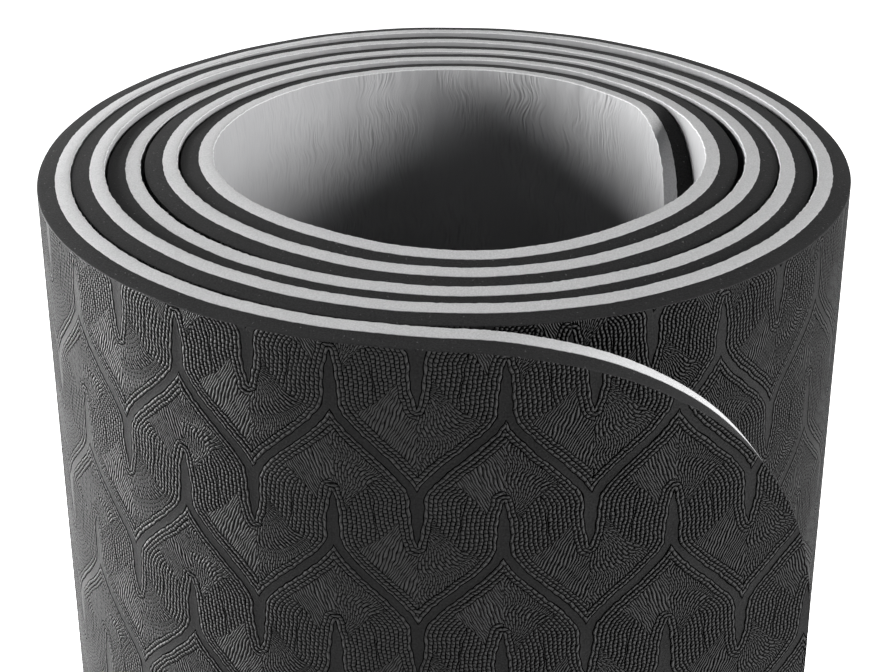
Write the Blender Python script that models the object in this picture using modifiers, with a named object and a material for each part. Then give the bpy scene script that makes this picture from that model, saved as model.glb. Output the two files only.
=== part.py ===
# A yoga mat of two bonded foam layers, rolled up and standing on one end.
# Metres, +Z up along the roll's axis. The origin lies on the floor, under the middle of the roll.
# Angles are in degrees from +X, anticlockwise seen from above, and grow outwards along the winding.
# Lengths along the mat start at its inner end.
import math
import bmesh
import bpy
import numpy

# The flat mat
mat_length = 1.83
mat_width = 0.61
black_thickness = 0.0032
grey_thickness = 0.0026
layer_clearance = 0.0003
outer_corner_radius = 0.064
inner_corner_radius = 0.021

# The roll, measured where the two layers meet
core_radius = 0.0457
wrap_gap = 0.00048
inner_end_degrees = 5.0
climb_start_degrees = 234.0
climb_end_degrees = 357.0

# The free end stands a little off the wrap below it, and its last stretch flares away
free_end_lift = 0.0016
free_end_lift_degrees = 170.0
free_end_flare = 0.0099
free_end_flare_degrees = 60.0

# The free end is cut into panels, which bend away from the roll at upright creases
panel_count = 4
panel_length = 0.054
panel_clearance = 0.0003

# How finely the winding is drawn
step_degrees = 5.0
corner_steps = 12
walk_step_degrees = 0.25

full_turn = 360.0
mat_thickness = black_thickness + layer_clearance + grey_thickness
pitch = mat_thickness + wrap_gap
black_inner_offset = layer_clearance / 2
black_outer_offset = black_inner_offset + black_thickness
grey_inner_offset = -layer_clearance / 2 - grey_thickness


def eased(share):
    held = min(max(share, 0.0), 1.0)
    return held * held * (3.0 - 2.0 * held)


def wound_radius(degrees):
    # Each wrap is a true circle, but climbs by one pitch where it passes over the inner end
    wraps = math.floor((degrees - climb_start_degrees) / full_turn)
    past_start = degrees - climb_start_degrees - wraps * full_turn
    climb_share = past_start / (climb_end_degrees - climb_start_degrees)
    return core_radius + pitch * (wraps + eased(climb_share))


def walked(radius_at):
    # Goes along the winding from the inner end until the whole mat is used
    angles = [inner_end_degrees]
    lengths = [0.0]
    while lengths[-1] < mat_length:
        start = angles[-1]
        round_the_axis = radius_at(start + walk_step_degrees / 2) * math.radians(walk_step_degrees)
        outwards = radius_at(start + walk_step_degrees) - radius_at(start)
        lengths.append(lengths[-1] + math.hypot(round_the_axis, outwards))
        angles.append(start + walk_step_degrees)
    return lengths, angles


def end_degrees(radius_at):
    lengths, angles = walked(radius_at)
    return float(numpy.interp(mat_length, lengths, angles))


lift_start_degrees = end_degrees(wound_radius) - free_end_lift_degrees


def lifted_radius(degrees):
    lift_share = max(degrees - lift_start_degrees, 0.0) / free_end_lift_degrees
    return wound_radius(degrees) + free_end_lift * lift_share ** 2


flare_start_degrees = end_degrees(lifted_radius) - free_end_flare_degrees


def bond_radius(degrees):
    flare_share = max(degrees - flare_start_degrees, 0.0) / free_end_flare_degrees
    return lifted_radius(degrees) + free_end_flare * flare_share ** 2


walk_lengths, walk_angles = walked(bond_radius)


def angle_at(length):
    return float(numpy.interp(length, walk_lengths, walk_angles))


def length_at(degrees):
    return float(numpy.interp(degrees, walk_angles, walk_lengths))


def around_axis(length, offset):
    # A point of the winding, on a surface that lies this far outside the joint of the two layers
    degrees = angle_at(length)
    radius = bond_radius(degrees)
    climb = (bond_radius(degrees + walk_step_degrees) - radius) / math.radians(walk_step_degrees)
    turned = math.radians(degrees)
    facing = turned - math.atan2(climb, radius)
    x = radius * math.cos(turned) + offset * math.cos(facing)
    y = radius * math.sin(turned) + offset * math.sin(facing)
    return x, y


def corner_inset(length):
    # How far the rounded corners cut into the top and bottom edges here
    def cut(distance, radius):
        reach = max(radius - distance, 0.0)
        return radius - math.sqrt(max(radius ** 2 - reach ** 2, 0.0))

    return max(cut(length, inner_corner_radius), cut(mat_length - length, outer_corner_radius))


def all_stations():
    # Even steps round the winding, and closer ones through the rounded corners
    stations = []
    for step in range(corner_steps + 1):
        turned = math.radians(90.0 * step / corner_steps)
        stations.append(inner_corner_radius * (1.0 - math.cos(turned)))
        stations.append(mat_length - outer_corner_radius * (1.0 - math.cos(turned)))
    degrees = inner_end_degrees
    while degrees < angle_at(mat_length):
        length = length_at(degrees)
        if inner_corner_radius < length < mat_length - outer_corner_radius:
            stations.append(length)
        degrees += step_degrees
    return sorted(stations)


stations = all_stations()
closest_stations = panel_clearance


def stations_between(start, end):
    inside = [length for length in stations if start + closest_stations < length < end - closest_stations]
    return [start] + inside + [end]


outline = [around_axis(length, black_outer_offset) for length in stations]
across = [point[0] for point in outline]
along = [point[1] for point in outline]
axis_x = -(min(across) + max(across)) / 2
axis_y = -(min(along) + max(along)) / 2


def on_roll(length, offset):
    x, y = around_axis(length, offset)
    return axis_x + x, axis_y + y


def foam_material(name, colour, roughness):
    material = bpy.data.materials.new(name)
    material.use_nodes = True
    material.diffuse_color = colour
    shader = material.node_tree.nodes["Principled BSDF"]
    shader.inputs["Base Color"].default_value = colour
    shader.inputs["Roughness"].default_value = roughness
    shader.inputs["Metallic"].default_value = 0.0
    return material


def place_of(carrier):
    if carrier is None:
        return 0.0, 0.0
    return carrier.matrix_world.translation.x, carrier.matrix_world.translation.y


def add_crease(name, length, parent):
    # An upright axis on the outer face, where opening the panel can't pinch it against its neighbour
    crease = bpy.data.objects.new(name, None)
    mat.objects.link(crease)
    carrier_x, carrier_y = place_of(parent)
    x, y = on_roll(length, black_outer_offset)
    crease.parent = parent
    crease.location = (x - carrier_x, y - carrier_y, 0.0)
    bpy.context.view_layer.update()
    return crease


def add_layer(name, start, end, inner_offset, thickness, material, crease):
    # A flat strip with rounded corners is laid on the winding and thickened outwards
    lengths = stations_between(start, end)
    columns = len(lengths) - 1
    strip = bmesh.new()
    bmesh.ops.create_grid(strip, x_segments=columns, y_segments=1, size=1.0)
    origin_x, origin_y = place_of(crease)
    for vert in strip.verts:
        length = lengths[round((vert.co.x + 1.0) / 2.0 * columns)]
        x, y = on_roll(length, inner_offset)
        inset = corner_inset(length)
        z = mat_width - inset if vert.co.y > 0.0 else inset
        vert.co = (x - origin_x, y - origin_y, z)
    mesh = bpy.data.meshes.new(name)
    strip.to_mesh(mesh)
    strip.free()
    mesh.materials.append(material)
    layer = bpy.data.objects.new(name, mesh)
    mat.objects.link(layer)
    layer.parent = crease
    wall = layer.modifiers.new("thickness", "SOLIDIFY")
    wall.thickness = thickness
    wall.offset = 1.0
    wall.use_even_offset = True
    wall.use_quality_normals = True
    mesh.shade_smooth()
    mesh.set_sharp_from_angle(angle=math.radians(40.0))
    return layer


def add_both_layers(suffix, start, end, crease):
    add_layer("black_layer" + suffix, start, end, black_inner_offset, black_thickness, black_foam, crease)
    add_layer("grey_layer" + suffix, start, end, grey_inner_offset, grey_thickness, grey_foam, crease)


for leftover in list(bpy.data.objects):
    bpy.data.objects.remove(leftover, do_unlink=True)
mat = bpy.data.collections.new("yoga_mat")
bpy.context.scene.collection.children.link(mat)
black_foam = foam_material("black_foam", (0.030, 0.030, 0.031, 1.0), 0.55)
grey_foam = foam_material("grey_foam", (0.52, 0.53, 0.54, 1.0), 0.75)

first_crease = mat_length - panel_count * panel_length
add_both_layers("_roll", 0.0, first_crease - panel_clearance / 2, None)
crease = None
for panel in range(1, panel_count + 1):
    start = first_crease + (panel - 1) * panel_length
    end = mat_length if panel == panel_count else start + panel_length - panel_clearance / 2
    crease = add_crease("crease_" + str(panel), start, crease)
    add_both_layers("_panel_" + str(panel), start + panel_clearance / 2, end, crease)
    place = crease.matrix_world.translation
    print("crease", panel, "at", round(place.x, 6), round(place.y, 6))

print("winding from", inner_end_degrees, "to", round(angle_at(mat_length), 2), "degrees")
print("roll axis at", round(axis_x, 6), round(axis_y, 6))
print("clear core radius", round(core_radius + grey_inner_offset, 5))
rest_x, rest_y = on_roll(mat_length / 2, black_inner_offset + black_thickness / 2)
print("resting point on the bottom edge", round(rest_x, 6), round(rest_y, 6))
print("overall", round(max(across) - min(across), 5), round(max(along) - min(along), 5), mat_width)
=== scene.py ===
import math

import bpy
import numpy as np
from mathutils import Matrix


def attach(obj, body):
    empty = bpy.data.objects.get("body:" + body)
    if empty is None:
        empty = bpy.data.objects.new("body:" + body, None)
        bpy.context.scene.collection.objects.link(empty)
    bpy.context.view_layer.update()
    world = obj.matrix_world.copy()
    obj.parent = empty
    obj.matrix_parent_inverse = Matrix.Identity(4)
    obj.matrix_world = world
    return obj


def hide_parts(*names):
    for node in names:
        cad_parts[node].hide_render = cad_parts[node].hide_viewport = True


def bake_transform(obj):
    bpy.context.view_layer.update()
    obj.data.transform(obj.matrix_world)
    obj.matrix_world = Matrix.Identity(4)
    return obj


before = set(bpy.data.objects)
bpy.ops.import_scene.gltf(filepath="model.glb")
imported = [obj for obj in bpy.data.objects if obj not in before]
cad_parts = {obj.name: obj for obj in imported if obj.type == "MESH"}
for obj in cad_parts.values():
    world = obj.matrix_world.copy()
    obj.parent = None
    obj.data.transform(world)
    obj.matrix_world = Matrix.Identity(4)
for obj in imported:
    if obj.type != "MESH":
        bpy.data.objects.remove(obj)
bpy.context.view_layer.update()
print("frame loaded:", len(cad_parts), "solids")

# Lengths are in metres and angles in degrees unless a note says otherwise.
# Lengths along the mat start at its inner end, and heights at its lower edge.
matSizes = {
    "length": 1.83,
    "width": 0.61,
    "blackThickness": 0.0032,
    "greyThickness": 0.0026,
    "bondGap": 0.0003,  # the solids keep this apart, and the layers here close it
    "outerCorner": 0.064,
    "innerCorner": 0.021,
    "bevel": 0.00095,  # the cut is slanted: the black edge ends this much before the grey one
}
windingSizes = {
    "coreRadius": 0.0457,
    "wrapGap": 0.00048,
    "innerEnd": 5.0,
    "climbStart": 234.0,
    "climbEnd": 357.0,
    "endLift": 0.0016,
    "endLiftSpan": 170.0,
    "endFlare": 0.0099,
    "endFlareSpan": 60.0,
    "walkStep": 0.25,
    "walkTurns": 6,  # more than the mat has
    "outlinePoints": 4000,
    "telescopePerTurn": 0.00044,  # each wrap further in stands this much higher at the top
}
# A mat rolled by hand is never even: millimetres outwards and upwards, for each eighth of a turn
handRolled = {
    "every": 45.0,
    "out": [
        -0.21, 0.35, 0.19, 0.13, -0.05, -0.95, -0.25, -0.99,
        -0.58, 0.51, 0.3, 0.24, 0.03, -1.09, -0.4, -0.92,
        0.38, 0.15, -0.06, -0.12, 0.32, -0.21, -0.21, -0.3,
        0.08, -0.22, 0.07, 0.36, 0.32, -0.57, -0.57, -0.47,
        0.57, 0.45, 0.15, 0, -0.04, -0.19, -0.35, -1.1,
        -1.1,
    ],
    "up": [
        0.15, -0.54, -0.77, -0.63, -0.06, 0.01, -0.74, -0.05,
        0.05, -0.45, -0.62, -0.29, 0.06, -0.12, -0.46, 0.02,
        0.03, -0.53, -0.65, -0.65, -0.28, -0.17, -0.18, 0.01,
        -0.12, -0.53, -0.41, -0.15, 0.26, 0.37, 0.22, 0.3,
        -0.13, -0.22, -0.17, -0.36, -0.1, 0.23, 0.25, 0.1,
        0.06,
    ],
}
panelSizes = {"count": 4, "length": 0.054}

fullTurn = 360.0
inMillimetres = 1000.0
matThickness = matSizes["blackThickness"] + matSizes["bondGap"] + matSizes["greyThickness"]
pitch = matThickness + windingSizes["wrapGap"]
blackOuter = matSizes["bondGap"] / 2 + matSizes["blackThickness"]
greyInner = -matSizes["bondGap"] / 2 - matSizes["greyThickness"]


def eased(share):
    held = np.clip(share, 0.0, 1.0)
    return held * held * (3.0 - 2.0 * held)


def tightRadius(degrees):
    w = windingSizes
    wraps = np.floor((degrees - w["climbStart"]) / fullTurn)
    past = degrees - w["climbStart"] - wraps * fullTurn
    return w["coreRadius"] + pitch * (wraps + eased(past / (w["climbEnd"] - w["climbStart"])))


def walked(radiusAt):
    # The lengths used up to each angle, from the inner end on
    step = windingSizes["walkStep"]
    steps = int(windingSizes["walkTurns"] * fullTurn / step)
    angles = windingSizes["innerEnd"] + step * np.arange(steps)
    roundTheAxis = radiusAt(angles[:-1] + step / 2) * math.radians(step)
    outwards = np.diff(radiusAt(angles))
    return np.concatenate([[0.0], np.cumsum(np.hypot(roundTheAxis, outwards))]), angles


def endOf(radiusAt):
    lengths, angles = walked(radiusAt)
    return np.interp(matSizes["length"], lengths, angles)


liftStart = endOf(tightRadius) - windingSizes["endLiftSpan"]


def liftedRadius(degrees):
    share = np.maximum(degrees - liftStart, 0.0) / windingSizes["endLiftSpan"]
    return tightRadius(degrees) + windingSizes["endLift"] * share ** 2


flareStart = endOf(liftedRadius) - windingSizes["endFlareSpan"]


def bondRadius(degrees):
    share = np.maximum(degrees - flareStart, 0.0) / windingSizes["endFlareSpan"]
    return liftedRadius(degrees) + windingSizes["endFlare"] * share ** 2


walkLengths, walkAngles = walked(bondRadius)


def unevenness(degrees, way="out"):
    place = (degrees - windingSizes["innerEnd"]) / handRolled["every"]
    before = np.clip(np.floor(place).astype(int), 0, len(handRolled[way]) - 2)
    values = np.array(handRolled[way]) / inMillimetres
    return values[before] + (values[before + 1] - values[before]) * eased(place - before)


def around(length, offset, uneven=1.0):
    # A point that lies this far outside the joint of the two layers, square to the winding
    def radiusAt(degrees):
        return bondRadius(degrees) + uneven * unevenness(degrees)

    step = windingSizes["walkStep"]
    degrees = np.interp(length, walkLengths, walkAngles)
    turned, radius = np.radians(degrees), radiusAt(degrees)
    facing = turned - np.arctan2((radiusAt(degrees + step) - radius) / math.radians(step), radius)
    x = radius * np.cos(turned) + offset * np.cos(facing)
    y = radius * np.sin(turned) + offset * np.sin(facing)
    return x, y


def outlineMiddle():
    lengths = np.linspace(0, matSizes["length"], windingSizes["outlinePoints"])
    x, y = around(lengths, blackOuter, uneven=0.0)
    return -(x.min() + x.max()) / 2, -(y.min() + y.max()) / 2


axisX, axisY = outlineMiddle()
matEnd = matSizes["length"]
endAngle = float(np.interp(matEnd, walkLengths, walkAngles))
bareStart = float(np.interp(endAngle - fullTurn, walkAngles, walkLengths))
print("winding ends at", round(endAngle, 2), "degrees")
print("its outside is bare from", round(bareStart, 4))


class Wire:
    # Wraps a socket, so that shader maths reads as ordinary expressions
    def __init__(self, tree, socket=None):
        self.tree = tree
        self.socket = socket

    def add(self, kind, settings, inputs, output=0):
        node = self.tree.nodes.new(kind)
        for name, value in settings.items():
            setattr(node, name, value)
        for key, value in inputs.items():
            if isinstance(value, Wire):
                self.tree.links.new(value.socket, node.inputs[key])
            else:
                node.inputs[key].default_value = value
        return Wire(self.tree, node.outputs[output])

    def other(self, output):
        # Another output of the same node
        return Wire(self.tree, self.socket.node.outputs[output])

    def feed(self, node, name):
        self.tree.links.new(self.socket, node.inputs[name])

    def maths(self, operation, *values):
        return self.add("ShaderNodeMath", {"operation": operation}, dict(enumerate(values)))

    def __add__(self, other):
        return self.maths("ADD", self, other)

    def __radd__(self, other):
        return self.maths("ADD", other, self)

    def __sub__(self, other):
        return self.maths("SUBTRACT", self, other)

    def __rsub__(self, other):
        return self.maths("SUBTRACT", other, self)

    def __mul__(self, other):
        return self.maths("MULTIPLY", self, other)

    def __rmul__(self, other):
        return self.maths("MULTIPLY", other, self)

    def __truediv__(self, other):
        return self.maths("DIVIDE", self, other)

    def __rtruediv__(self, other):
        return self.maths("DIVIDE", other, self)


plainMaths = {
    "MINIMUM": np.minimum,
    "MAXIMUM": np.maximum,
    "SQRT": np.sqrt,
    "ABSOLUTE": np.abs,
    "FLOOR": np.floor,
    "SINE": np.sin,
    "SIGN": np.sign,
}


def work(operation, *values):
    # The same maths on arrays of numbers, for the mesh, and on sockets, for the materials
    wires = [value for value in values if isinstance(value, Wire)]
    if wires:
        return wires[0].maths(operation, *values)
    return plainMaths[operation](*values)


def held(value):
    return work("MINIMUM", work("MAXIMUM", value, 0.0), 1.0)


def ramped(low, high, value):
    share = held((value - low) / (high - low))
    return share * share * (3.0 - 2.0 * share)


def blended(a, b, share):
    return a + (b - a) * share


def acrossBoth(a, b):
    return work("SQRT", a * a + b * b)


# The embossing is a traditional pointed wave, stacked up the mat. Its sizes are in millimetres.
ornament = {
    "across": 27.512,
    "up": 25.822,
    "firstValley": 26.33,
    "lowestValley": 12.65,
    "riseShare": 0.763,  # height of a wave, as a share of the way up to the next
    "ribbonHalf": 0.72,
    "spikeHalf": 1.1,
    "spikeSwell": 3.0,  # the ribbon widens into its spike over this length
    "crestTip": 7.8,
    "valleyTip": 7.3,
    "sunk": 0.09,
    "sunkEdge": (-0.4, 0.3),  # how far from the ribbon's edge the mesh starts and stops rising
    "wobble": 0.07,
    # Two waves each way: radians per millimetre, how far they are bent, and the pace of that
    "swayWaves": ((0.9, 2.1, 0.37), (2.3, 1.7, 1.9)),
    "liftWaves": ((0.8, 2.3, 0.41), (2.1, 1.9, 1.7)),
}


def bentWave(along, beside, wave):
    pace, bend, bendPace = wave
    return work("SINE", along * pace + bend * work("SINE", beside * bendPace))


def wobbled(s, z):
    o = ornament
    sway = bentWave(z, s, o["swayWaves"][0]) + bentWave(z, s, o["swayWaves"][1])
    lift = bentWave(s, z, o["liftWaves"][0]) + bentWave(s, z, o["liftWaves"][1])
    return s + o["wobble"] * sway, z + o["wobble"] * lift


def foldedPlace(s, z):
    # x is 0 on the valley lines and 0.5 on the crest lines, and y runs from 0 to 1 up one wave.
    # The last value tells the two sides of a valley line apart.
    turns = (s - ornament["firstValley"]) / ornament["across"]
    side = turns - work("FLOOR", turns) - 0.5
    steps = (z - ornament["lowestValley"]) / ornament["up"]
    return 0.5 - work("ABSOLUTE", side), steps - work("FLOOR", steps), work("SIGN", side)


def waveDistance(x, y):
    # Millimetres from the edge of one wave's ribbon, below zero inside it
    o = ornament
    t = held(y / o["riseShare"])
    slope = 3.0 * t * (1.0 - t) * o["across"] / (o["riseShare"] * o["up"])
    away = work("ABSOLUTE", x - 0.5 * t * t * (3.0 - 2.0 * t)) * o["across"]
    away = away / work("SQRT", slope * slope + 1.0)
    over, under = (y - o["riseShare"]) * o["up"], (0.0 - y) * o["up"]
    crestShare, valleyShare = held(over / o["crestTip"]), held(under / o["valleyTip"])
    taper = (1.0 - crestShare * crestShare) * (1.0 - valleyShare * valleyShare)
    past = work("MAXIMUM", over - o["crestTip"], 0.0) + work("MAXIMUM", under - o["valleyTip"], 0.0)
    isSpike = ramped(-o["spikeSwell"], 0.0, work("MAXIMUM", over, under))
    return acrossBoth(away, past) - blended(o["ribbonHalf"], o["spikeHalf"], isSpike) * taper


def ribbonDistance(x, y):
    nearest = work("MINIMUM", waveDistance(x, y), waveDistance(x, y + 1.0))
    return work("MINIMUM", nearest, waveDistance(x, y - 1.0))


def coarseRelief(s, z):
    # What the mesh itself carries, in metres below the raised fields
    x, y = foldedPlace(*wobbled(s * inMillimetres, z * inMillimetres))[:2]
    rising = ramped(*ornament["sunkEdge"], ribbonDistance(x, y))
    return ornament["sunk"] / inMillimetres * (rising - 1.0)


def cut(count, share):
    # 0 at each whole number and 1 beyond the share on both sides
    return ramped(0.0, share, work("ABSOLUTE", count - work("ROUND", count)))


def notched(count, notch):
    # A notch is the share of the pitch that it takes on each side, and what it leaves
    share, left = notch
    return blended(left, 1.0, cut(count, share))


def swell(count):
    # 0 at each whole number, and round like a bead between them
    part = work("ABSOLUTE", count - work("ROUND", count))
    return 4.0 * part * (1.0 - part)


# The fields between the ribbons, in millimetres
fieldSizes = {
    "neckHeight": 0.94,  # a share of one wave
    "neckLean": 33.0,
    "neckClimb": 1.2,
    "beadsHalf": 3.9,  # half the width of the patches of beads between the spikes
    "beadsReach": 10.5,
    "stripWide": 2.15,  # the beads that follow each ribbon
    "stripNarrow": 1.45,
    "crackShare": 0.24,
    "sharpHalf": 0.01,
    "lobeEdge": 0.04,
    "seamHalf": 0.15,
    "seamLeft": 0.6,
    "ribbonHeight": 0.6,
    "ribbonLight": 0.5,
    "ribbonEdge": (-0.05, 0.08),
    "grooveHalf": 0.13,
    "grooveDepth": 0.5,
    "grooveShade": 0.7,
}
beadSizes = {
    "rowPitch": 0.74,
    "pitch": 0.703,
    "waist": 0.35,
    "shade": (0.192, 0.25),
    "along": 0.35,  # how much a step along the mat and a step up it move the count of beads
    "up": 0.9,
    "cord": 0.66,  # a stitched cord beside each ribbon
    "cordEdge": 0.02,
    "stitch": 1.5,
    "stitchAlong": 0.75,
    "stitchNotch": (0.25, 0.5),
    "stitchShade": (0.12, 0.4),
}
fanSizes = {
    "ribs": 40.0,  # twice as many beyond the fork, and twice again beyond the next
    "fork": 3.4,
    "nextFork": 9.0,
    "valleyHub": 0.9,  # how far the fans' middles lie from the valley and crest lines
    "crestHub": 1.2,
    "valleyHubDrop": 2.0,
    "sway": 0.006,  # a share of a turn
    "swayPace": 1.1,
    "cutPitch": 1.5,
    "notch": (0.25, 0.45),
    "shade": (0.14, 0.3),
}
hairSizes = {
    "pitch": 0.48,
    "along": 0.9,
    "up": 0.4,
    "sway": 0.3,
    "swayUp": 0.7,
    "swayAlong": 0.6,
    "strand": 3.4,
    "strandShift": 0.37,
    "notch": (0.3, 0.5),
    "shade": (0.15, 0.5),
}


def isAbove(value):
    return ramped(-fieldSizes["sharpHalf"], fieldSizes["sharpHalf"], value)


# Each filling gives how high it stands and how open to the light it is; the second is painted
# shade, which darkens the colour in its cracks and notches
def beads(fromRibbon, fromValley, z):
    b, crack = beadSizes, fieldSizes["crackShare"]
    row = (fromRibbon - b["cord"]) / b["rowPitch"]
    bead = (b["along"] * fromValley + b["up"] * z) / b["pitch"] + 0.5 * work("FLOOR", row)
    isCord = ramped(b["cordEdge"], -b["cordEdge"], row)
    cordRow = fromRibbon / b["cord"]
    stitch = (b["stitchAlong"] * fromValley + b["up"] * z) / b["stitch"]
    beadHeight = swell(row) * blended(b["waist"], 1.0, swell(bead))
    cordHeight = swell(cordRow) * notched(stitch, b["stitchNotch"])
    beadLight = cut(row, crack) * notched(bead, b["shade"])
    cordLight = cut(cordRow, crack) * notched(stitch, b["stitchShade"])
    return blended(beadHeight, cordHeight, isCord), blended(beadLight, cordLight, isCord)


def fans(fromValley, fromCrest, rise, inArch):
    f = fanSizes
    across = blended(fromValley - f["valleyHub"], fromCrest - f["crestHub"], inArch)
    along = blended(0.0 - rise - f["valleyHubDrop"], rise, inArch)
    away = acrossBoth(across, along)
    forked = 1.0 + isAbove(away - f["fork"]) + 2.0 * isAbove(away - f["nextFork"])
    turned = work("ARCTAN2", across, along) / (2 * math.pi)
    turned = turned + f["sway"] * work("SINE", away * f["swayPace"])
    rib = turned * forked * f["ribs"]
    ribCut = away / f["cutPitch"] + 0.5 * work("FLOOR", rib)
    height = swell(rib) * notched(ribCut, f["notch"])
    return height, cut(rib, fieldSizes["crackShare"]) * notched(ribCut, f["shade"])


def hairs(fromValley, fromCrest, rise, inArch):
    h = hairSizes
    inward = 2.0 * inArch - 1.0
    aside = h["along"] * blended(fromValley, fromCrest, inArch) - h["up"] * rise * inward
    aside = aside + h["sway"] * work("SINE", rise * h["swayUp"] + h["swayAlong"] * fromValley)
    hair = aside / h["pitch"]
    strand = (h["up"] * fromValley + h["along"] * rise) / h["strand"]
    strand = strand + h["strandShift"] * work("FLOOR", hair)
    height = swell(hair) * notched(strand, h["notch"])
    return height, cut(hair, fieldSizes["crackShare"]) * notched(strand, h["shade"])


def embossing(s, z):
    # How high the design stands and how open to the light it is, both from 0 to 1,
    # and 0 on the ribbons and 1 on the fields between them. The second is painted shade in the
    # colour.
    o, f = ornament, fieldSizes
    swayed, lifted = wobbled(s, z)
    x, y, side = foldedPlace(swayed, lifted)
    d = ribbonDistance(x, y)
    fromValley, fromCrest = x * o["across"], (0.5 - x) * o["across"]

    # Between a spike and its neighbour the fields narrow to a neck, full of beads.
    # Above and below it lie the lobes, which hold the fans and the hairs by turns.
    halfway = 0.25
    shift = (x - halfway) * f["neckClimb"]
    neck = y - shift + (0.5 - f["neckHeight"])
    rise = (neck - work("FLOOR", neck) - 0.5 + shift) * o["up"]
    leaning = math.radians(f["neckLean"])
    sideways = fromValley - halfway * o["across"]
    along = rise * math.cos(leaning) - sideways * math.sin(leaning)
    beside = sideways * math.cos(leaning) + rise * math.sin(leaning)
    inArch = isAbove(beside)
    isHair = isAbove(0.0 - side * (2.0 * inArch - 1.0))
    edge = work("ABSOLUTE", beside) - f["beadsHalf"] * (1.0 - along * along / f["beadsReach"] ** 2)
    strip = blended(f["stripNarrow"], f["stripWide"], isHair)
    outsideBeads = work("MINIMUM", edge, d - strip)
    inLobe = ramped(-f["lobeEdge"], f["lobeEdge"], outsideBeads)
    seam = ramped(0.0, f["seamHalf"], work("ABSOLUTE", outsideBeads))
    seam = blended(f["seamLeft"], 1.0, seam)

    beadHeight, beadLight = beads(d, fromValley, lifted)
    fanHeight, fanLight = fans(fromValley, fromCrest, rise, inArch)
    hairHeight, hairLight = hairs(fromValley, fromCrest, rise, inArch)
    # The seams lower the fields and darken their colour with painted shade
    fieldHeight = blended(beadHeight, blended(fanHeight, hairHeight, isHair), inLobe) * seam
    fieldLight = blended(beadLight, blended(fanLight, hairLight, isHair), inLobe) * seam
    outside = ramped(*f["ribbonEdge"], d)
    groove = ramped(f["grooveHalf"], 0.0, work("ABSOLUTE", d))
    height = blended(f["ribbonHeight"], fieldHeight, outside) - f["grooveDepth"] * groove
    # Painted shade: the colour darkens in the grooves beside the ribbons
    light = blended(f["ribbonLight"], fieldLight, outside) * (1.0 - f["grooveShade"] * groove)
    return height, held(light), outside


meshSizes = {
    # The height of a row near the top and elsewhere, and how far down the first reach
    "fineRows": (0.0006, 0.0011, 0.13),
    "coreRows": (0.0025, 0.01, 0.08),
    "hiddenRows": (0.006, 0.1, 0.03),
    "underRim": (0.0024, 0.0014, 0.0006, 0.0),  # the last rows of a hidden face, below the rim
    "fineStep": 0.0007,
    "hiddenStep": 0.0016,
    "greyStep": 0.0008,
    "coreLength": 0.31,
    "cornerSteps": 160,
    "innerCornerEvery": 3,
    "closestStations": 0.00006,
    "arcSteps": 4,
    "rimPoints": 5,
    "reliefFrom": 0.0001,  # the relief fades in over this distance from the edges, and this span
    "reliefSpan": 0.0008,
    "mergeBelow": 0.000002,
    "smoothBelow": 40,
}


def stationsFor(spans):
    # Even steps along each span, and finer ones through the rounded corners
    found = [spans[0][0]]
    for start, end, step in spans:
        count = max(2, int(round((end - start) / step)))
        found += list(np.linspace(start, end, count + 1)[1:])
    first, last = spans[0][0], spans[-1][1]
    turned = np.radians(np.linspace(0, 90, meshSizes["cornerSteps"] + 1))
    coarser = turned[::meshSizes["innerCornerEvery"]]
    corners = list(matSizes["innerCorner"] * (1 - np.cos(coarser)))
    corners += list(matEnd - matSizes["outerCorner"] * (1 - np.cos(turned)))
    found += [length for length in corners if first < length < last]
    kept = [first]
    for length in sorted(found):
        if length - kept[-1] > meshSizes["closestStations"]:
            kept.append(length)
    kept[-1] = last
    return np.array(kept)


def rowShares(fine, plain, topReach):
    # Shares of the height of a face, closer together near its top end
    width = matSizes["width"]
    split = 1.0 - topReach / width
    low = np.linspace(0.0, split, max(2, int(round(split * width / plain))) + 1)
    high = np.linspace(split, 1.0, max(2, int(round(topReach / fine))) + 1)
    return np.concatenate([low, high[1:]])


def cornerShare(s):
    # Sine of the slope of the edge: 0 where it is straight, 1 at the outer end, -1 at the inner one
    atStart = np.clip(1.0 - s / matSizes["innerCorner"], 0.0, 1.0)
    atEnd = np.clip(1.0 - (matEnd - s) / matSizes["outerCorner"], 0.0, 1.0)
    return atEnd - atStart


def cornerInset(s):
    share = cornerShare(s)
    radius = np.where(share > 0, matSizes["outerCorner"], matSizes["innerCorner"])
    return radius * (1.0 - np.sqrt(1.0 - share ** 2))


def sectionOf(layer):
    # One loop round the layer's section: up the outer face, over the top edge, down the inner face
    # and under. A point is its kind, how far up the face or from the edge it lies, and its depth.
    outer, inner = layer["outer"], layer["inner"]
    outerRound, innerRound = layer["outerRounding"], layer["innerRounding"]
    turns = np.radians(np.linspace(0, 90, meshSizes["arcSteps"] + 2)[1:-1])
    rim = np.linspace(outer - outerRound, inner + innerRound, meshSizes["rimPoints"])
    if not outerRound:
        rim = rim[1:]
    if not innerRound:
        rim = rim[:-1]
    points = [("face", share, outer) for share in layer["outerRows"]]
    for kind in ("top", "bottom"):
        first, last = (outer, inner) if kind == "top" else (inner, outer)
        firstRound = outerRound if kind == "top" else innerRound
        lastRound = innerRound if kind == "top" else outerRound
        inward = 1.0 if last > first else -1.0
        if firstRound:
            points += [(kind, firstRound * (1 - math.sin(a)),
                        first + inward * firstRound * (1 - math.cos(a))) for a in turns]
        points += [(kind, 0.0, depth) for depth in (rim if kind == "top" else rim[::-1])]
        if lastRound:
            points += [(kind, lastRound * (1 - math.cos(a)),
                        last - inward * lastRound * (1 - math.sin(a))) for a in turns]
        if kind == "top":
            points += [("face", share, inner) for share in layer["innerRows"][::-1]]
    return points + [points[0]]


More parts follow.
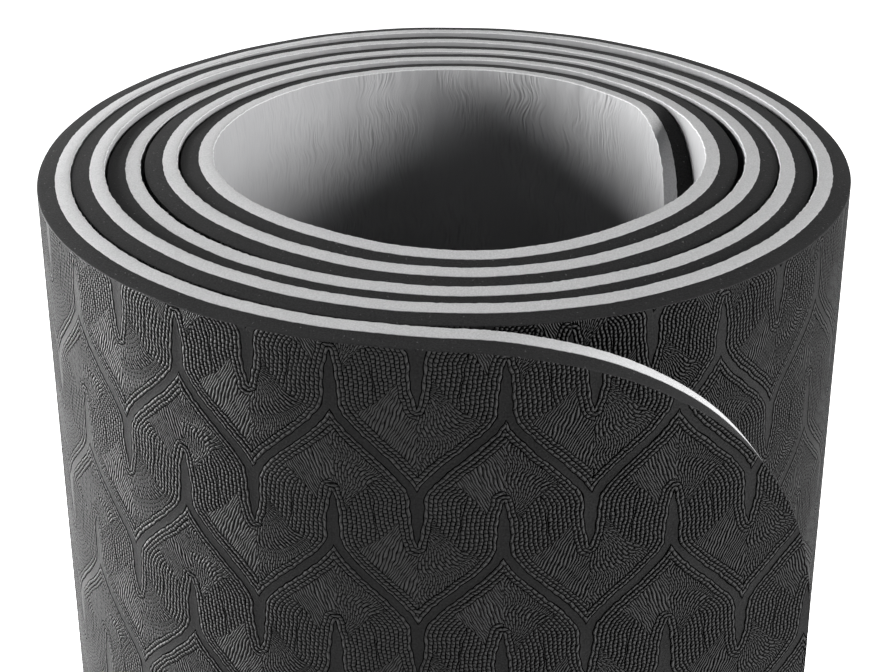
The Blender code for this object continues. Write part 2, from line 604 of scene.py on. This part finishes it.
# A hand-cut edge is finely uneven, and wanders up and down
handCut = {
    # Radians per metre along the mat, and each wave's part of the whole
    "waves": ((2900.0, 0.34), (5300.0, 0.30), (7900.0, 0.26), (610.0, 0.10)),
    "swing": 2.0,
    "swingPace": 0.37,
    "innerSeed": 0.4,
    "innerFalloff": 4,
    "bondSeed": 2.2,
    "bondPace": 0.7,
    "bondWithin": 0.00001,
    "wanderPace": 130.0,
    "quickWanderPace": 330.0,
    "quickWanderStart": 1.3,
}


def raggedness(s, seed):
    # Between -1 and 1
    total = 0.0
    for pace, part in handCut["waves"]:
        swing = handCut["swing"] * np.sin(s * pace * handCut["swingPace"] + seed)
        total = total + part * np.sin(s * pace + seed + swing)
    return total


def wander(s):
    quick = np.sin(s * handCut["quickWanderPace"] + handCut["quickWanderStart"])
    return np.sin(s * handCut["wanderPace"]) + quick


def addGrid(name, along, across):
    # A flat grid, and each point's column and row in it
    bpy.ops.object.select_all(action="DESELECT")
    bpy.ops.mesh.primitive_grid_add(x_subdivisions=along - 1, y_subdivisions=across - 1, size=2.0)
    piece = bpy.context.active_object
    piece.name = name
    piece.data.name = name
    flat = np.zeros(len(piece.data.vertices) * 3, np.float32)
    piece.data.vertices.foreach_get("co", flat)
    flat = flat.reshape(-1, 3)
    column = np.round((flat[:, 0] + 1) / 2 * (along - 1)).astype(int)
    row = np.round((flat[:, 1] + 1) / 2 * (across - 1)).astype(int)
    return piece, column, row


def closeUp(piece):
    # The section's loop is merged along its seam, and both ends of the strip are filled
    before = len(piece.data.polygons)
    bpy.ops.object.mode_set(mode="EDIT")
    bpy.ops.mesh.select_all(action="SELECT")
    bpy.ops.mesh.remove_doubles(threshold=meshSizes["mergeBelow"])
    bpy.ops.mesh.select_all(action="DESELECT")
    bpy.ops.mesh.select_mode(type="EDGE")
    bpy.ops.mesh.select_non_manifold()
    bpy.ops.mesh.fill_holes(sides=0)
    bpy.ops.object.mode_set(mode="OBJECT")
    for face in piece.data.polygons[before:]:
        face.material_index = 1
    bpy.ops.object.shade_smooth_by_angle(angle=math.radians(meshSizes["smoothBelow"]))


def rolledLayer(name, layer):
    # A grid is bent round the layer's section, closed, and laid on the winding
    s = stationsFor(layer["spans"])
    points = sectionOf(layer)
    kind = np.array([{"bottom": 0, "top": 1, "face": 2}[point[0]] for point in points])
    value = np.array([point[1] for point in points])
    depth = np.array([point[2] for point in points])
    piece, column, row = addGrid(name, len(s), len(points))
    mesh = piece.data

    ss, kk, vv, dd = s[column], kind[row], value[row], depth[row]
    onOuterFace = depth[row] == layer["outer"]
    inset, share = cornerInset(ss), cornerShare(ss)
    lean = matSizes["bevel"] * dd / matThickness
    degrees = np.interp(ss, walkLengths, walkAngles)
    top = matSizes["width"] - inset + layer["rise"] + unevenness(degrees, "up")
    top = top + windingSizes["telescopePerTurn"] * (endAngle - degrees) / fullTurn
    top = top - lean * np.sqrt(1.0 - share ** 2)
    ss = ss - lean * share
    top = top + layer["rimWander"] * wander(ss)
    nearOuter = dd > (layer["outer"] + layer["inner"]) / 2
    rounding = np.where(nearOuter, layer["outerRounding"], layer["innerRounding"])
    middle = inset + rounding + vv * (top - inset - 2 * rounding)
    z = np.where(kk == 0, inset + vv, np.where(kk == 1, top - vv, middle))
    thickness = layer["outer"] - layer["inner"]
    crown = 1.0 - ((2 * dd - layer["outer"] - layer["inner"]) / thickness) ** 2
    z = z + np.where(kk == 1, layer["crown"] * crown, 0.0)

    fromTop = top - z
    edgeShare = np.clip(1.0 - fromTop / layer["raggedDepth"], 0.0, 1.0)
    innerShare = np.clip((layer["outer"] - dd) / thickness, 0.0, 1.0)
    edgeShare = edgeShare * innerShare ** handCut["innerFalloff"]
    dd = dd - layer["raggedInner"] * edgeShare * raggedness(ss, handCut["innerSeed"])
    atBond = np.abs(dd) < handCut["bondWithin"]
    ragged = raggedness(ss * handCut["bondPace"], handCut["bondSeed"])
    dd = dd + layer["raggedBond"] * ragged * atBond
    if layer["embossed"]:
        fade = eased((fromTop - meshSizes["reliefFrom"]) / meshSizes["reliefSpan"])
        fade = fade * eased((z - inset - meshSizes["reliefFrom"]) / meshSizes["reliefSpan"])
        dd = dd + np.where(onOuterFace, coarseRelief(ss, z) * fade, 0.0)
    x, y = around(ss, dd)
    placed = np.stack([axisX + x, axisY + y, z], 1).astype(np.float32)
    mesh.vertices.foreach_set("co", placed.ravel())

    corner = np.zeros(len(mesh.loops), np.int32)
    mesh.loops.foreach_get("vertex_index", corner)
    mesh.uv_layers[0].name = "OFBake"
    unrolled = mesh.uv_layers.new(name="unrolled", do_init=False)
    unrolled.uv.foreach_set("vector", np.stack([ss, z], 1)[corner].astype(np.float32).ravel())
    firstCorner = np.zeros(len(mesh.polygons), np.int32)
    mesh.polygons.foreach_get("loop_start", firstCorner)
    faceRow = np.minimum.reduce([row[corner[firstCorner + n]] for n in range(4)])
    isCut = (kind[:-1] < 2) | (kind[1:] < 2)
    mesh.materials.append(layer["face"])
    mesh.materials.append(layer["cut"])
    mesh.polygons.foreach_set("material_index", isCut[faceRow].astype(np.int32))
    closeUp(piece)
    print(name, len(mesh.polygons), "faces")
    return piece


def foam(name, colour, roughness, specular):
    made = bpy.data.materials.new(name)
    made.use_nodes = True
    shader = made.node_tree.nodes["Principled BSDF"]
    shader.inputs["Base Color"].default_value = (*colour, 1.0)
    shader.inputs["Roughness"].default_value = roughness
    shader.inputs["Specular IOR Level"].default_value = specular
    return made, Wire(made.node_tree), shader


def mixed(start, share, first, second):
    return start.add("ShaderNodeMix", {"data_type": "RGBA"}, {0: share, 6: first, 7: second}, 2)


def shades(start, share, dark, light):
    return mixed(start, share, (*dark, 1.0), (*light, 1.0))


def bumped(shader, height):
    # Height is in millimetres
    bump = height.add("ShaderNodeBump", {}, {
        "Strength": 1.0, "Distance": 1.0 / inMillimetres, "Height": height})
    bump.feed(shader, "Normal")


def unrolledPlace(start):
    # The map of the unrolled mat, and the millimetres along it and up it
    place = start.add("ShaderNodeUVMap", {"uv_map": "unrolled"}, {})
    split = place.add("ShaderNodeSeparateXYZ", {}, {0: place})
    return place, split * inMillimetres, split.other(1) * inMillimetres


def noise(start, place, scale, detail, roughness=0.5):
    return start.add("ShaderNodeTexNoise", {}, {"Vector": place, "Scale": scale, "Detail": detail,
                                                "Roughness": roughness})


blackLook = {
    "relief": 1.25,
    "roughness": 0.5,
    "specular": 0.03,
    "dark": (0.0003, 0.0003, 0.0003),
    "light": (0.057, 0.057, 0.0575),
    "grainScale": 2600.0,
    "patchScale": 90.0,
    "patches": 0.25,
    "fieldGrain": 0.25,
    "ribbonGrain": 0.6,
    "fieldRelief": 0.05,
    "ribbonRelief": 0.10,
    "fieldLit": 0.9,
    "ribbonLit": 0.75,
    "paintedShadow": (0.12, 0.7),  # painted shadow: a place less open to the light than the first is black
    "cutDark": (0.006, 0.006, 0.0063),
    "cutLight": (0.018, 0.018, 0.0183),
    "cutRoughness": 0.8,
    "cellSize": 0.0003,
    "cellDepth": 0.07,
    "speck": (0.09, 0.09, 0.09),
}
greyLook = {
    "face": (0.35, 0.35, 0.355),
    "faceDark": (0.275, 0.275, 0.28),
    "roughness": 0.6,
    "specular": 0.1,
    "cutDark": (0.52, 0.52, 0.525),
    "cutLight": (0.64, 0.64, 0.645),
    "cutRoughness": 0.85,
    "cellSize": 0.0003,
    "cellDepth": 0.06,
}
cutLook = {
    "specular": 0.16,
    "cellDetail": 4.0,
    "cellRoughness": 0.65,
    "cellContrast": 4.5,
    "patchScale": 0.12,  # a share of the cells' scale, as the specks' is
    "patchContrast": 0.3,
    "speckScale": 0.55,
    "speckEdge": (0.72, 0.78),
}


def embossedBlack():
    look = blackLook
    made, start, shader = foam(
        "embossedBlackFoam", look["light"], look["roughness"], look["specular"])
    place, s, z = unrolledPlace(start)
    stands, lit, outside = embossing(s, z)
    grain = noise(start, place, look["grainScale"], 3.0) - 0.5
    patches = noise(start, place, look["patchScale"], 2.0) - 0.5
    onRibbon = 1.0 - outside
    grainRelief = blended(look["fieldRelief"], look["ribbonRelief"], onRibbon) * grain
    bumped(shader, look["relief"] * stands + grainRelief)
    # Painted shade: the base colour darkens where the design is less open to the light
    share = lit * blended(look["fieldLit"], look["ribbonLit"], onRibbon)
    share = share + blended(look["fieldGrain"], look["ribbonGrain"], onRibbon) * grain
    share = held(share + look["patches"] * patches)
    shades(start, share, look["dark"], look["light"]).feed(shader, "Base Color")
    # Painted shadow: a black surface without gloss is mixed in where the cracks are least open to
    # the light
    paintedShadow = start.add("ShaderNodeBsdfPrincipled", {}, {
        "Base Color": (0.0, 0.0, 0.0, 1.0), "Roughness": 1.0, "Specular IOR Level": 0.0})
    surface = start.add("ShaderNodeMixShader", {}, {
        0: ramped(*look["paintedShadow"], lit), 1: paintedShadow, 2: Wire(made.node_tree, shader.outputs[0])})
    surface.feed(made.node_tree.nodes["Material Output"], "Surface")
    return made


def cutFoam(name, look):
    # A knife-cut face, with the small cells of the foam
    c = cutLook
    made, start, shader = foam(name, look["cutLight"], look["cutRoughness"], c["specular"])
    place = start.add("ShaderNodeTexCoord", {}, {}, 3)
    scale = 1.0 / look["cellSize"]
    cells = noise(start, place, scale, c["cellDetail"], c["cellRoughness"])
    patches = noise(start, place, c["patchScale"] * scale, 2.0)
    bumped(shader, cells * look["cellDepth"])
    share = 0.5 + c["cellContrast"] * (cells - 0.5) + c["patchContrast"] * (patches - 0.5)
    colour = shades(start, held(share), look["cutDark"], look["cutLight"])
    if "speck" in look:
        dots = noise(start, place, c["speckScale"] * scale, 1.0)
        colour = mixed(start, ramped(*c["speckEdge"], dots), colour, (*look["speck"], 1.0))
    colour.feed(shader, "Base Color")
    return made


# Heights are in millimetres
wrinkleSizes = {
    "sway": 5.2,
    "sharpness": 3.0,
    "depth": 0.23,
    "depthLeft": 0.12,  # the share of the depth that is left between the bunches
    "dentDepth": 0.5,
    "grainDepth": 0.02,
    "bunchEdge": (0.35, 0.6),
    "fadeStart": 55.0,  # millimetres from the inner end
    "fadeEnd": 135.0,
    "fadeLeft": 0.15,
    "shade": 0.35,
    "paintedShadeOfWrinkle": 0.8,
    "shadeMiddle": 0.3,
    "shadeLeft": 0.3,
    "shadeOfGrain": 0.25,
    # Each noise: its pace along the mat and up it, where it starts, and its detail
    "swayNoise": (0.05, 0.11, 0.0, 1.0),
    "wrinkleNoise": (0.95, 0.15, 0.0, 1.5),
    "bunchNoise": (0.06, 0.05, 7.3, 1.0),
    "dentNoise": (0.16, 0.06, 3.1, 1.0),
    "grainNoise": (4.0, 4.0, 0.0, 3.0),
}


def smoothGrey():
    # The smooth side puckers into fine upright wrinkles where the roll squeezes it
    look, w = greyLook, wrinkleSizes
    made, start, shader = foam("smoothGreyFoam", look["face"], look["roughness"], look["specular"])
    s, z = unrolledPlace(start)[1:]

    def noiseAt(along, up, kind):
        alongPace, upPace, begin, detail = w[kind]
        spot = start.add("ShaderNodeCombineXYZ", {}, {0: along * alongPace + begin, 1: up * upPace})
        return noise(start, spot, 1.0, detail)

    bent = s + w["sway"] * (noiseAt(s, z, "swayNoise") - 0.5)
    wrinkles = 1.0 - w["sharpness"] * work("ABSOLUTE", noiseAt(bent, z, "wrinkleNoise") - 0.5)
    bunches = ramped(*w["bunchEdge"], noiseAt(s, z, "bunchNoise"))
    bunches = bunches * blended(w["fadeLeft"], 1.0, ramped(w["fadeEnd"], w["fadeStart"], s))
    grain = noiseAt(s, z, "grainNoise")
    height = w["depth"] * blended(w["depthLeft"], 1.0, bunches) * wrinkles
    height = height + w["dentDepth"] * noiseAt(s, z, "dentNoise") + w["grainDepth"] * grain
    bumped(shader, height)
    # Painted shade: the colour is lighter on the wrinkles' ridges and darker in their creases, most
    # in the bunches
    paintedWrinkleShade = w["paintedShadeOfWrinkle"] * (wrinkles - w["shadeMiddle"])
    share = w["shade"] + paintedWrinkleShade * blended(w["shadeLeft"], 1.0, bunches) + w["shadeOfGrain"] * grain
    shades(start, held(share), look["faceDark"], look["face"]).feed(shader, "Base Color")
    return made


blackFace = embossedBlack()
blackCut = cutFoam("cutBlackFoam", blackLook)
greyFace = smoothGrey()
greyCut = cutFoam("cutGreyFoam", greyLook)
print("materials made")

firstCrease = matEnd - panelSizes["count"] * panelSizes["length"]
# The pieces meet midway between the creases, so that each of them holds one crease
seams = [firstCrease + (k - 0.5) * panelSizes["length"] for k in range(panelSizes["count"])]
seams.append(matEnd)
hiddenStart = bareStart - (matEnd - seams[0])
fineRows = rowShares(*meshSizes["fineRows"])
coreRows = rowShares(*meshSizes["coreRows"])
# Faces that lie on each other need few rows, and only just under the rim are they seen
underRim = 1.0 - np.array(meshSizes["underRim"]) / matSizes["width"]
hiddenRows = np.concatenate([rowShares(*meshSizes["hiddenRows"])[:-1], underRim])

blackLayer = {
    "face": blackFace,
    "cut": blackCut,
    "outer": blackOuter,
    "inner": 0.0,
    "rise": -0.00005,
    "crown": 0.0,
    "outerRounding": 0.00016,
    "innerRounding": 0.0,
    "raggedInner": 0.0,
    "raggedBond": 0.00009,
    "raggedDepth": 0.001,
    "rimWander": 0.00003,
    "innerRows": hiddenRows,
    "embossed": True,
}
greyLayer = {
    "face": greyFace,
    "cut": greyCut,
    "outer": 0.0,
    "inner": greyInner,
    "rise": 0.00005,
    "crown": 0.00004,
    "outerRounding": 0.0,
    "innerRounding": 0.00022,
    "raggedInner": 0.00018,
    "raggedBond": 0.00009,
    "raggedDepth": 0.002,
    "rimWander": 0.00003,
    "outerRows": hiddenRows,
    "innerRows": hiddenRows,
    "embossed": False,
}
m = meshSizes
layers = {
    "blackInside": dict(blackLayer, outerRows=hiddenRows, spans=[
        (0.0, hiddenStart, m["fineStep"])]),
    "blackOutside": dict(blackLayer, outerRows=fineRows, spans=[
        (hiddenStart, bareStart, m["hiddenStep"]), (bareStart, seams[0], m["fineStep"])]),
    "greyCore": dict(greyLayer, spans=[(0.0, m["coreLength"], m["greyStep"])], innerRows=coreRows),
    "greyInside": dict(greyLayer, spans=[(m["coreLength"], seams[0], m["greyStep"])]),
}
for k in range(panelSizes["count"]):
    blackSpan = (seams[k], seams[k + 1], m["fineStep"])
    greySpan = (seams[k], seams[k + 1], m["greyStep"])
    layers["blackEnd%d" % (k + 1)] = dict(blackLayer, spans=[blackSpan], outerRows=fineRows)
    layers["greyEnd%d" % (k + 1)] = dict(greyLayer, spans=[greySpan])


def rollPoint(length, offset):
    x, y = around(length, offset)
    return (axisX + float(x), axisY + float(y), matSizes["width"] / 2)


for name, layer in layers.items():
    piece = rolledLayer(name, layer)
    colourName = "black" if name.startswith("black") else "grey"
    if "End" in name:
        k = int(name[-1])
        middle = seams[k] if k < panelSizes["count"] else matEnd - panelSizes["length"] / 2
        rollPoint(seams[k - 1], blackOuter)
        rollPoint(middle, blackOuter)
        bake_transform(piece)
        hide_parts("%s_layer_panel_%d" % (colourName, k))
    else:
        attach(piece, "roll")
        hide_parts("%s_layer_roll" % colourName)
    colourName + "_foam"

studio = {
    "cameraAhead": 0.36915,
    "cameraAbove": 0.15367,
    "cameraAside": -9e-05,
    "cameraPitch": 27.412,
    "lens": 85.887,
    "sensor": 36.0,
    "shiftX": 0.00154,
    "clipStart": 0.01,
    "lampSize": (0.6, 0.4),
    "lampTarget": (0.0, 0.0, 0.6),
    "lamps": {
        "leftSoftbox": {"place": (-1.28, 0.00, 0.83), "power": 33.0},
        "lowLeftSoftbox": {"place": (-1.18, 0.55, 0.40), "power": 58.0},
        "backLeftSoftbox": {"place": (-1.05, 0.73, 0.83), "power": 11.0},
        "lowRightSoftbox": {"place": (1.18, -0.55, 0.40), "power": 8.0},
        "rightSoftbox": {"place": (1.21, -0.33, 0.94), "power": 17.0},
        "frontRightSoftbox": {"place": (1.05, -0.73, 0.83), "power": 11.5},
    },
    "floorSize": 12.0,
    "floorColour": (0.9, 0.9, 0.9),
    "floorRoughness": 0.9,
    "floorSpecular": 0.2,
}


def addCamera():
    made = bpy.data.cameras.new("camera")
    made.lens = studio["lens"]
    made.sensor_width = studio["sensor"]
    made.shift_x = studio["shiftX"]
    made.clip_start = studio["clipStart"]
    camera = bpy.data.objects.new("camera", made)
    bpy.context.scene.collection.objects.link(camera)
    camera.location = (axisX + studio["cameraAside"], axisY - studio["cameraAhead"],
                       matSizes["width"] + studio["cameraAbove"])
    camera.rotation_euler = (math.radians(90 - studio["cameraPitch"]), 0.0, 0.0)
    bpy.context.scene.camera = camera


def addLamp(name, lamp):
    made = bpy.data.lights.new(name, "AREA")
    made.shape = "RECTANGLE"
    made.size, made.size_y = studio["lampSize"]
    made.energy = lamp["power"]
    placed = bpy.data.objects.new(name, made)
    bpy.context.scene.collection.objects.link(placed)
    placed.location = lamp["place"]
    way = np.array(studio["lampTarget"]) - np.array(lamp["place"])
    tilt = math.atan2(math.hypot(way[0], way[1]), -way[2])
    placed.rotation_euler = (tilt, 0.0, math.atan2(-way[0], way[1]))


def seenDirectly(tree):
    # 1 for rays that show the background itself, in the picture, in a gloss or through glass
    camera = Wire(tree).add("ShaderNodeLightPath", {}, {}, "Is Camera Ray")
    glossy, through = camera.other("Is Glossy Ray"), camera.other("Is Transmission Ray")
    return work("MAXIMUM", work("MAXIMUM", camera, glossy), through)


addCamera()
for name, lamp in studio["lamps"].items():
    addLamp(name, lamp)

world = bpy.data.worlds.new("studioWorld")
bpy.context.scene.world = world
world.use_nodes = True
background = world.node_tree.nodes["Background"]
background.inputs["Color"].default_value = (1, 1, 1, 1)
seenDirectly(world.node_tree).feed(background, "Strength")

bpy.ops.object.select_all(action="DESELECT")
bpy.ops.mesh.primitive_plane_add(size=studio["floorSize"], location=(0, 0, 0))
floor = bpy.context.active_object
floor.name = "studioFloor"
floorPaint, floorStart, floorShader = foam(
    "floorPaint", studio["floorColour"], studio["floorRoughness"], studio["floorSpecular"])
floorShader.inputs["Emission Strength"].default_value = 1.0
seenDirectly(floorStart.tree).feed(floorShader, "Emission Color")
floor.data.materials.append(floorPaint)
print("studio set")

bpy.context.scene.view_settings.view_transform = "Standard"
print("finished")
